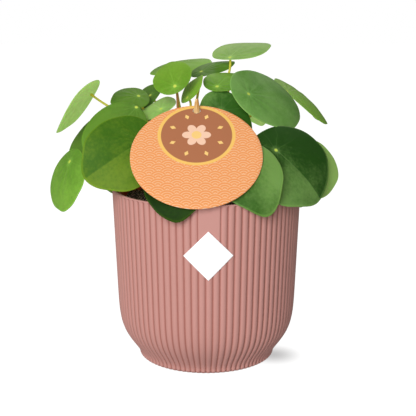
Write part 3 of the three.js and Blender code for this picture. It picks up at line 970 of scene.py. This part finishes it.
# The petiole's glow is painted light that lifts it out of the blades' shade.
PETIOLE_GLOW = 0.2
scatter = {"Subsurface_Scale": 0.003, "Subsurface_Radius": (0.3, 1.0, 0.12)}
upper_finish = {
    tone: finish(
        f"leaf_upper_{tone}", upper_side(tone), Subsurface_Weight=0.1,
        Specular_IOR_Level=SHEEN.get(tone, USUAL_SHEEN), **scatter,
    )
    for tone in TONES
}
lower_finish = {
    tone: finish(
        f"leaf_lower_{tone}", lower_side(tone), Subsurface_Weight=0.6, Specular_IOR_Level=0.3,
        Emission_Strength=PALE_GLOW if tone == "pale" else 0.0, **scatter,
    )
    for tone in TONES
}
petiole_finish = finish("petiole_skin", petiole_skin, Emission_Strength=PETIOLE_GLOW)
print("leaf finishes", len(upper_finish) + len(lower_finish) + 1)

# %% [markdown]
# The blade follows the model's formulas, cut much finer: an ellipse about a point beyond the dot,
# drawn out to a slight tip, domed, and bent down towards the tip. On top of that lies what only
# shows up close: the rim waves gently, the skin is quilted between the veins, and the edge is
# rounded. A disc could also be bent by modifiers, but thirty leaves that match the model need sums.

# %% Blade
LEAF_POINT_SPREAD = 0.35
BLADE_POINTS = 80
BLADE_RINGS = 15
BLADE_HALF = 0.36
EDGE_HALF = 0.2
EDGE_BULGE = 0.25
RIM_WAVE = 0.45
QUILT = 0.12


def blade_height(leaf, along, aside):
    u = (along - leaf["length"] * leaf["inset"]) / (leaf["length"] / 2)
    v = aside / (leaf["width"] / 2)
    round_part = (u * u + v * v) * leaf["dome"] * leaf["width"] * 0.5
    bend = np.maximum(0, u) ** 3 * leaf["droop"] * leaf["length"]
    crease = np.abs(v) * leaf["fold"] * leaf["width"] * 0.5
    return crease - round_part - bend


def blade(leaf, draw):
    angle = around(BLADE_POINTS)
    signed = np.where(angle > math.pi, angle - 2 * math.pi, angle)
    point = leaf["point"] * np.exp(-((signed / LEAF_POINT_SPREAD) ** 2))
    rim_along = leaf["length"] * (leaf["inset"] + np.cos(angle) / 2 + point)
    rim_aside = leaf["width"] / 2 * np.sin(angle)
    wobble = 1 + 0.008 * np.sin(5 * angle + draw.uniform(0, 6))
    wobble += 0.006 * np.sin(9 * angle + draw.uniform(0, 6))
    wave_phase = draw.uniform(0, 6)
    flat_level = blade_height(leaf, 0.0, 0.0)

    def ring(share, half, grow=0.0):
        size = share * wobble ** (share**2) * (1 + grow / leaf["length"])
        along = rim_along * size
        aside = rim_aside * size
        wave = RIM_WAVE * share**3 * np.sin(3 * angle + wave_phase)
        quilt = QUILT * share * (1 - share) * 4 * np.cos(VEINS * angle)
        height = blade_height(leaf, along, aside) - flat_level + half + wave - quilt
        places = (
            leaf["dot"]
            + np.outer(along, leaf["tip"])
            + np.outer(aside, leaf["across"])
            + np.outer(height, leaf["normal"])
        )
        # Painted light and shade: the blade's level leans lighter towards its lit side.
        lean = share * np.cos(angle - math.radians(leaf["lit"])) * leaf["contrast"]
        ring_flat = np.stack([along, aside], axis=1) / 10
        ring_shade = np.stack([leaf["level"] + lean / 2, np.full_like(lean, share)], axis=1)
        return places, ring_flat, ring_shade

    shares = [(step / BLADE_RINGS) ** 0.9 for step in range(1, BLADE_RINGS + 1)]
    halves = [BLADE_HALF + (EDGE_HALF - BLADE_HALF) * share for share in shares]
    lower = [ring(share, -half) for share, half in zip(shares, halves)]
    edge = [ring(1.0, half, EDGE_BULGE) for half in (-EDGE_HALF * 0.5, EDGE_HALF * 0.5)]
    upper = [ring(share, half) for share, half in zip(reversed(shares), reversed(halves))]
    rings = lower + edge + upper
    under_middle = leaf["dot"] - leaf["normal"] * BLADE_HALF
    over_middle = leaf["dot"] + leaf["normal"] * BLADE_HALF
    points, faces = skin([places for places, _, _ in rings], under_middle, over_middle)
    flat = [pair for _, ring_flat, _ in rings for pair in ring_flat] + [(0, 0), (0, 0)]
    shade = [pair for _, _, ring_shade in rings for pair in ring_shade] + [(0.5, 0), (0.5, 0)]
    bands = len(rings) - 1
    indexes = [1 if band < len(lower) else 0 for band in range(bands) for _ in range(BLADE_POINTS)]
    indexes += [1, 0] * BLADE_POINTS
    return points, faces, flat, shade, indexes


# %% [markdown]
# The petiole is a tube along the model's own cubic curve, from just inside the swelling on the stem
# to the dot. It is thicker at its foot and where it meets the blade. Each ring is turned as little
# as possible from the one before it, so that the tube never twists. A curve object with a bevel
# makes such a tube too, but this one has to become one mesh with its blade.

# %% Petiole
PETIOLE_SIDES = 14
PETIOLE_STEPS = 26
PETIOLE_SINK = 1.6
PETIOLE_RADIUS = 1.1
PETIOLE_TAPER = 0.25
FOOT_THICKENING = 0.55
TOP_THICKENING = 0.25


def petiole(leaf):
    climb = math.radians(leaf["climb"])
    outward = np.array([math.cos(leaf["heading"]), math.sin(leaf["heading"]), 0])
    away = STEM_RADIUS + SEAT_GAP + PETIOLE_BASE_RADIUS * math.sin(climb)
    start = np.array([*STEM_PLACE, leaf["node"]]) + outward * away
    end = leaf["dot"]
    span = np.linalg.norm(end - start)
    launch = outward * math.cos(climb) + np.array([0, 0, math.sin(climb)])
    root = start - launch * PETIOLE_SINK
    bends = [root, start + launch * span * leaf["push"], end - leaf["normal"] * span * leaf["pull"], end]
    side = np.array([-outward[1], outward[0], 0])
    rings = []
    flat = []
    for step in range(PETIOLE_STEPS + 1):
        t = step / PETIOLE_STEPS
        weights = [(1 - t) ** 3, 3 * t * (1 - t) ** 2, 3 * t * t * (1 - t), t**3]
        slopes = [-3 * (1 - t) ** 2, 3 * (1 - t) * (1 - 3 * t), 3 * t * (2 - 3 * t), 3 * t * t]
        place = sum(weight * bend for weight, bend in zip(weights, bends))
        ahead = sum(slope * bend for slope, bend in zip(slopes, bends))
        ahead /= np.linalg.norm(ahead)
        side = side - ahead * side.dot(ahead)
        side /= np.linalg.norm(side)
        other = np.cross(ahead, side)
        radius = PETIOLE_RADIUS - PETIOLE_TAPER * t
        radius += FOOT_THICKENING * math.exp(-((t / 0.05) ** 2))
        radius += TOP_THICKENING * math.exp(-(((1 - t) / 0.03) ** 2))
        ring = []
        for corner in range(PETIOLE_SIDES):
            angle = 2 * math.pi * corner / PETIOLE_SIDES
            ring.append(place + radius * (side * math.cos(angle) + other * math.sin(angle)))
            flat.append((corner / PETIOLE_SIDES, t))
        rings.append(ring)
    points, faces = skin(rings, root, end)
    return points, faces, flat + [(0, 0), (0, 1)]


# %% [markdown]
# Blade and petiole have grown together, so they become one piece with three finishes, chosen face
# by face. Each leaf gets its own seeded draw, and so keeps its waves when another leaf is changed.


# %% Leaves
def grow_leaf(number, leaf):
    draw = random.Random(number)
    points, faces, flat, shade, indexes = blade(leaf, draw)
    tube_points, tube_faces, tube_flat = petiole(leaf)
    faces = faces + [tuple(index + len(points) for index in face) for face in tube_faces]
    indexes = indexes + [2] * len(tube_faces)
    finishes = [upper_finish[leaf["tone"]], lower_finish[leaf["tone"]], petiole_finish]
    slot = "leaf_young" if leaf["tone"] == "young" else "leaf"
    name = f"leaf_{number:02d}"
    shade = shade + [(leaf["brown"], 0)] * len(tube_points)
    flat = flat + tube_flat
    return piece(f"{name}_blade", points + tube_points, faces, finishes, [name], flat, indexes, shade)


for number, leaf in enumerate(leaves, 1):
    grown = grow_leaf(number, leaf)
print("faces on a leaf", len(grown.data.polygons))

# %% [markdown]
# The care card is a disc of coated board that leans back on a bamboo stick. The stick has been
# pushed through it near the top and has torn the board there. The lean, the hole and the stick
# belong together, so their sizes come first, from the model.

# %% Card and stick sizes
STICK_PLACE = (-7.0, -11.0)
STICK_RADIUS = 2.4
STICK_TIP_RADIUS = 1.4
STICK_TOP = 197.5
STICK_ROOT = 45.0
CARD_RADIUS = 47.0
CARD_THICKNESS = 0.8
CARD_LEAN = 42.0
CARD_HOLE_REACH = 41.9
CARD_BELOW_TIP = 9.2
HOLE_RADIUS = 2.65
print("card leans by", CARD_LEAN, "degrees, its hole at", STICK_TOP - CARD_BELOW_TIP)

# %% [markdown]
# The print is drawn by the shader from the card's own coordinates, in millimetres from its middle,
# so it stays sharp and needs no picture file. Its ground is the old wave pattern of overlapping
# scales: rows of circles, each row lower than the last and half a pitch aside, and lying over it.
# For every point the shader tries three rows, and the lowest one with a circle that holds the point
# wins. Rings in that circle are the waves.

# %% Wave pattern
WAVE_RADIUS = 6.6
WAVE_ROW = 3.4
WAVE_RINGS = 3.3


def first_circle(tree, x, y, row):
    """How far the point lies from the nearest circle centre of a row, as a share of the radius."""
    level = (y / WAVE_ROW).maths("FLOOR") - 1 + row
    odd = level % 2
    middle_y = level * WAVE_ROW
    from_middle = (x - odd * WAVE_RADIUS + WAVE_RADIUS) % (2 * WAVE_RADIUS) - WAVE_RADIUS
    down = y - middle_y
    return (from_middle * from_middle + down * down) ** 0.5 / WAVE_RADIUS


def waves(tree, x, y):
    share = first_circle(tree, x, y, 2)
    for row in (1, 0):
        nearer = first_circle(tree, x, y, row)
        inside = nearer < 1
        share = share * (1 - inside) + nearer * inside
    ring = ((1 - share) * WAVE_RINGS) % 1
    return tree.rise(abs(ring - 0.5), 0.32, 0.42)


# %% [markdown]
# On the waves lies a brown disc with a yellow border. It holds a plain blossom with a round heart,
# and lozenges round it. Petals and lozenges repeat by angle: the turn is cut into wedges, and a
# shape drawn once in a wedge shows in all of them. Round the hole the print has torn off, and the
# paper shows.

# %% Card print
DISC_CENTRE = 18.8
DISC_RADIUS = 25.6
BORDER_RADIUS = 28.0
ORANGE = (0.88, 0.315, 0.088)
WAVE_PALE = (0.93, 0.56, 0.33)
YELLOW = (0.95, 0.56, 0.13)
BROWN = (0.44, 0.155, 0.065)
PEACH = (0.95, 0.60, 0.42)
GOLD = (0.97, 0.62, 0.20)
PAPER = (0.90, 0.88, 0.84)
PETALS = 6
PETAL_REACH = 6.4
PETAL_SIZE = 3.1
HEART_RADIUS = 3.6
LOZENGES = 8
LOZENGE_REACH = 18.5
LOZENGE_SIZE = 2.4
INK_BLUR = 0.12
TEAR_RADIUS = 3.6


def in_wedge(reach, angle, count, turn):
    """A point's place out and aside in its own wedge, when a full turn is cut into equal wedges."""
    within = (angle + turn) % (2 * math.pi / count) - math.pi / count
    return reach * within.maths("COSINE"), reach * within.maths("SINE")


def card_print(tree):
    flat = tree.coordinates("flat")
    x, y = tree.split(flat)
    up = y - DISC_CENTRE
    reach = (x * x + up * up) ** 0.5
    angle = up.maths("ARCTAN2", x)
    petal_out, petal_aside = in_wedge(reach, angle, PETALS, math.pi / PETALS)
    petal_out = petal_out - PETAL_REACH
    petal = (petal_out * petal_out * 0.6 + petal_aside * petal_aside) ** 0.5
    lozenge_out, lozenge_aside = in_wedge(reach, angle, LOZENGES, 0)
    lozenge = abs(lozenge_out - LOZENGE_REACH) + abs(lozenge_aside) * 1.5
    colour = tree.mix(waves(tree, x, y), ORANGE, WAVE_PALE)
    inks = [
        (reach, BORDER_RADIUS, YELLOW),
        (reach, DISC_RADIUS, BROWN),
        (petal, PETAL_SIZE, PEACH),
        (reach, HEART_RADIUS, GOLD),
        (lozenge, LOZENGE_SIZE, GOLD),
    ]
    for distance, size, ink in inks:
        colour = tree.mix(tree.rise(distance, size + INK_BLUR, size - INK_BLUR), colour, ink)
    below_hole = y - CARD_HOLE_REACH
    from_hole = (x * x + below_hole * below_hole) ** 0.5
    fray = tree.noise(flat, 1.6, detail=3.0) * 1.4
    colour = tree.mix(tree.rise(from_hole + fray, TEAR_RADIUS, TEAR_RADIUS - 0.4), colour, PAPER)
    tooth = tree.noise(flat, 3.0, detail=3.0)
    return {"Base Color": colour, "Roughness": 0.42 + tooth * 0.1, "Normal": tree.bump(tooth, 0.03, 0.6)}


# %% [markdown]
# The card's back was not coated. It is plain board, greyish and rough with fibres, for which one
# noise is enough.


# %% Plain board
def plain_board(tree):
    fibre = tree.noise(tree.coordinates("flat"), 2.2, detail=5.0, roughness=0.7)
    colour = tree.mix(fibre, (0.74, 0.70, 0.62), (0.84, 0.81, 0.75))
    return {"Base Color": colour, "Roughness": 0.7 + fibre * 0.15, "Normal": tree.bump(fibre, 0.05, 0.6)}


# %% [markdown]
# The disc is built as rings between its hole and its rim, so it is one closed solid with the hole
# in it. For each direction from the hole, the rim lies where that ray leaves the circle, and the
# rings divide the way between. The tear lifts a small lip round the hole. The rim's face has the
# print too, because it is too thin to show as board.

# %% Card
CARD_ROUNDING = 0.15
TORN_LIP = 0.35


def card():
    lean = math.radians(CARD_LEAN)
    hole = np.array([*STICK_PLACE, STICK_TOP - CARD_BELOW_TIP])
    right = np.array([1.0, 0.0, 0.0])
    uphill = np.array([0.0, math.cos(lean), math.sin(lean)])
    normal = np.cross(right, uphill)
    angle = around(sides=144)
    toward_x, toward_y = np.cos(angle), np.sin(angle)
    inward = CARD_HOLE_REACH * toward_y
    rim = np.sqrt(inward**2 - CARD_HOLE_REACH**2 + CARD_RADIUS**2) - inward
    torn = HOLE_RADIUS + 0.12 * np.sin(7 * angle) + 0.08 * np.sin(11 * angle + 1)

    def ring(share, height, lip=0.0):
        reach = torn + (rim - torn) * share
        x = reach * toward_x
        y = reach * toward_y
        rise = np.full_like(reach, height) + lip
        places = hole + np.outer(x, right) + np.outer(y, uphill) + np.outer(rise, normal)
        return places, np.stack([x, y + CARD_HOLE_REACH], axis=1)

    shares = [0, 0.012, 0.03, 0.1, 0.25, 0.5, 0.75, 0.93, 0.995]
    half = CARD_THICKNESS / 2
    curl = TORN_LIP * (1 + np.sin(5 * angle + 2)) / 2
    top = [ring(share, half, curl * max(0, 1 - share / 0.03)) for share in shares]
    rounded = [ring(1.0, half - CARD_ROUNDING), ring(1.0, CARD_ROUNDING - half)]
    bottom = [ring(share, -half) for share in reversed(shares)]
    rings = top + rounded + bottom
    points, faces = skin([places for places, _ in rings])
    flat = [pair for _, ring_flat in rings for pair in ring_flat]
    board_bands = range(len(top) + 1, len(rings))
    indexes = [int(band in board_bands) for band in range(len(rings)) for _ in angle]
    finishes = [finish("card_print", card_print, Coat_Weight=0.2, Coat_Roughness=0.25)]
    finishes.append(finish("plain_board", plain_board))
    return piece("card_disc", points, faces, finishes, ["tag_card"], flat, indexes)


disc = card()
print("card faces", len(disc.data.polygons))

# %% [markdown]
# The stick is split bamboo, thin and tapered to a cut tip, with straight fibres along it. A tube
# that isn't quite round, and noise stretched along it, are enough for that.


# %% Stick
def split_bamboo(tree):
    place = tree.place()
    fibres = tree.noise(tree.stretched(place, (1, 1, 0.04)), 2200.0, detail=3.0)
    broad = tree.noise(tree.stretched(place, (1, 1, 0.1)), 600.0, detail=2.0)
    colour = tree.mix(tree.rise(broad, 0.44, 0.62), (0.58, 0.27, 0.06), (0.88, 0.66, 0.34))
    return {"Base Color": colour, "Roughness": 0.5 + fibres * 0.2, "Normal": tree.bump(fibres, 0.12)}


def stick():
    levels = [
        (STICK_ROOT, STICK_RADIUS / 3),
        (STICK_ROOT + 6, STICK_RADIUS),
        (90, STICK_RADIUS),
        (130, STICK_RADIUS),
        (STICK_TOP - 9, STICK_RADIUS),
        (STICK_TOP - 5, STICK_RADIUS * 0.82),
        (STICK_TOP - 1.0, STICK_TIP_RADIUS),
        (STICK_TOP - 0.4, STICK_TIP_RADIUS * 0.9),
        (STICK_TOP - 0.1, STICK_TIP_RADIUS * 0.6),
    ]
    angles = around(sides=28)
    flats = 1 - 0.06 * np.cos(3 * angles + 0.5) ** 2
    rings = [level_ring(radius * flats, height, angles, STICK_PLACE) for height, radius in levels]
    points, faces = skin(rings, (*STICK_PLACE, STICK_ROOT), (*STICK_PLACE, STICK_TOP))
    bamboo = finish("split_bamboo", split_bamboo)
    return piece("stick_bamboo", points, faces, [bamboo], ["tag_stick"])


bamboo_stick = stick()
print("stick faces", len(bamboo_stick.data.polygons))

# %% [markdown]
# The label is a blank white diamond of gloss paper, stuck over the ribs. It is a square grid stood
# on its corner and wrapped round the wall, with a little thickness. A bevel modifier softens its
# edges, since a sharp edge catches no light. A faint glow keeps the paper as white as the room.

# %% Label
LABEL_HALF_WIDTH = 17.5
LABEL_HALF_HEIGHT = 17.8
LABEL_THICKNESS = 0.5
LABEL_LIFT = 0.06
LABEL_BEVEL = 0.12
LABEL_HEIGHT = 93.9
LABEL_TURN = 1.2


def gloss_paper(tree):
    fibre = tree.noise(tree.place(), 1800.0, detail=3.0)
    colour = tree.mix(fibre, (0.94, 0.94, 0.94), (0.97, 0.97, 0.97))
    return {"Base Color": colour, "Roughness": 0.3 + fibre * 0.1, "Normal": tree.bump(fibre, 0.02, 0.5)}


def label():
    steps = 24
    turn = math.radians(LABEL_TURN - 90)

    def point(i, j, layer):
        a = 2 * i / steps - 1
        b = 2 * j / steps - 1
        height = LABEL_HEIGHT + LABEL_HALF_HEIGHT * (a + b) / 2
        angle = turn + LABEL_HALF_WIDTH * (a - b) / 2 / crest_radius(LABEL_HEIGHT)
        radius = crest_radius(height) + LABEL_LIFT + layer * LABEL_THICKNESS
        return (radius * math.cos(angle), radius * math.sin(angle), height)

    square = [[(i, j) for i in range(steps + 1)] for j in range(steps + 1)]
    points = [point(i, j, layer) for layer in (0, 1) for row in square for i, j in row]
    layer_size = (steps + 1) ** 2
    faces = []
    for j in range(steps):
        for i in range(steps):
            low = j * (steps + 1) + i
            quad = (low, low + 1, low + steps + 2, low + steps + 1)
            faces.append(quad)
            faces.append(tuple(index + layer_size for index in reversed(quad)))
    rim = [(i, 0) for i in range(steps)] + [(steps, j) for j in range(steps)]
    rim += [(i, steps) for i in range(steps, 0, -1)] + [(0, j) for j in range(steps, 0, -1)]
    border = [j * (steps + 1) + i for i, j in rim]
    for here, there in zip(border, border[1:] + border[:1]):
        faces.append((here, there, there + layer_size, here + layer_size))
    paper = finish(
        "gloss_paper", gloss_paper, Coat_Weight=0.2, Coat_Roughness=0.15,
        Emission_Color=WHITE, Emission_Strength=0.12,
    )
    made = piece("label_paper", points, faces, [paper], ["pot_label"])
    edges = made.modifiers.new("soft_edge", "BEVEL")
    edges.width = LABEL_BEVEL * MM
    edges.segments = 2
    edges.limit_method = "ANGLE"
    return made


diamond = label()
print("label faces", len(diamond.data.polygons))
